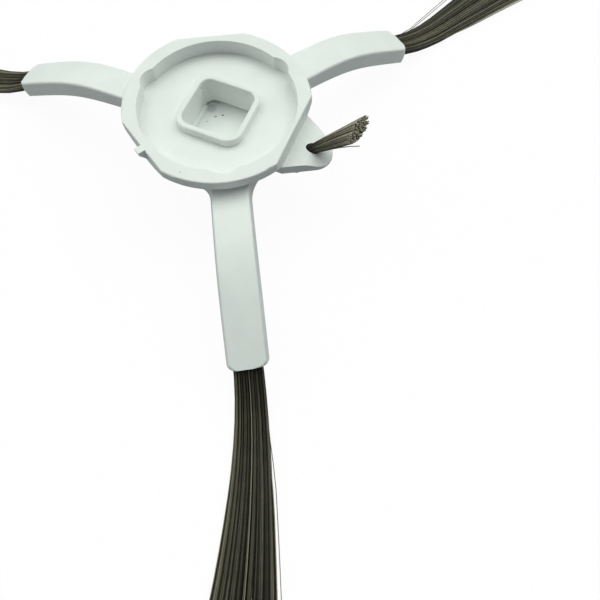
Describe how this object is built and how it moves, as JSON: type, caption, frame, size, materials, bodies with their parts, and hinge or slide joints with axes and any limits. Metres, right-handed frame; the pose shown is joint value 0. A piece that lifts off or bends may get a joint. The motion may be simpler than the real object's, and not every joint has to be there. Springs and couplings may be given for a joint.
{
  "type": "robot vacuum side brush",
  "caption": "Side brush for a robot vacuum: a white plastic hub with a square drive socket, drooping arms ending in fans of dark bristles, and a short tuft on an ear beside the rim.",
  "frame": {"origin": "on the drive axis, in the plane of the rim's top face", "axes": "+Z along the drive axis to the motor, +X to the ear with the short tuft; the brush lies on its long tufts"},
  "size_m": [0.1398, 0.164, 0.0237],
  "materials": {
    "hub_plastic": "white, satin matte",
    "bristles": "dark taupe nylon filaments",
    "short_bristles": "taupe nylon filaments with cut ends"
  },
  "bodies": {
    "root": {"hub_body": "hub_plastic", "front_tuft": "bristles", "right_tuft": "bristles", "left_tuft": "bristles", "short_tuft": "short_bristles"}
  },
  "joints": []
}
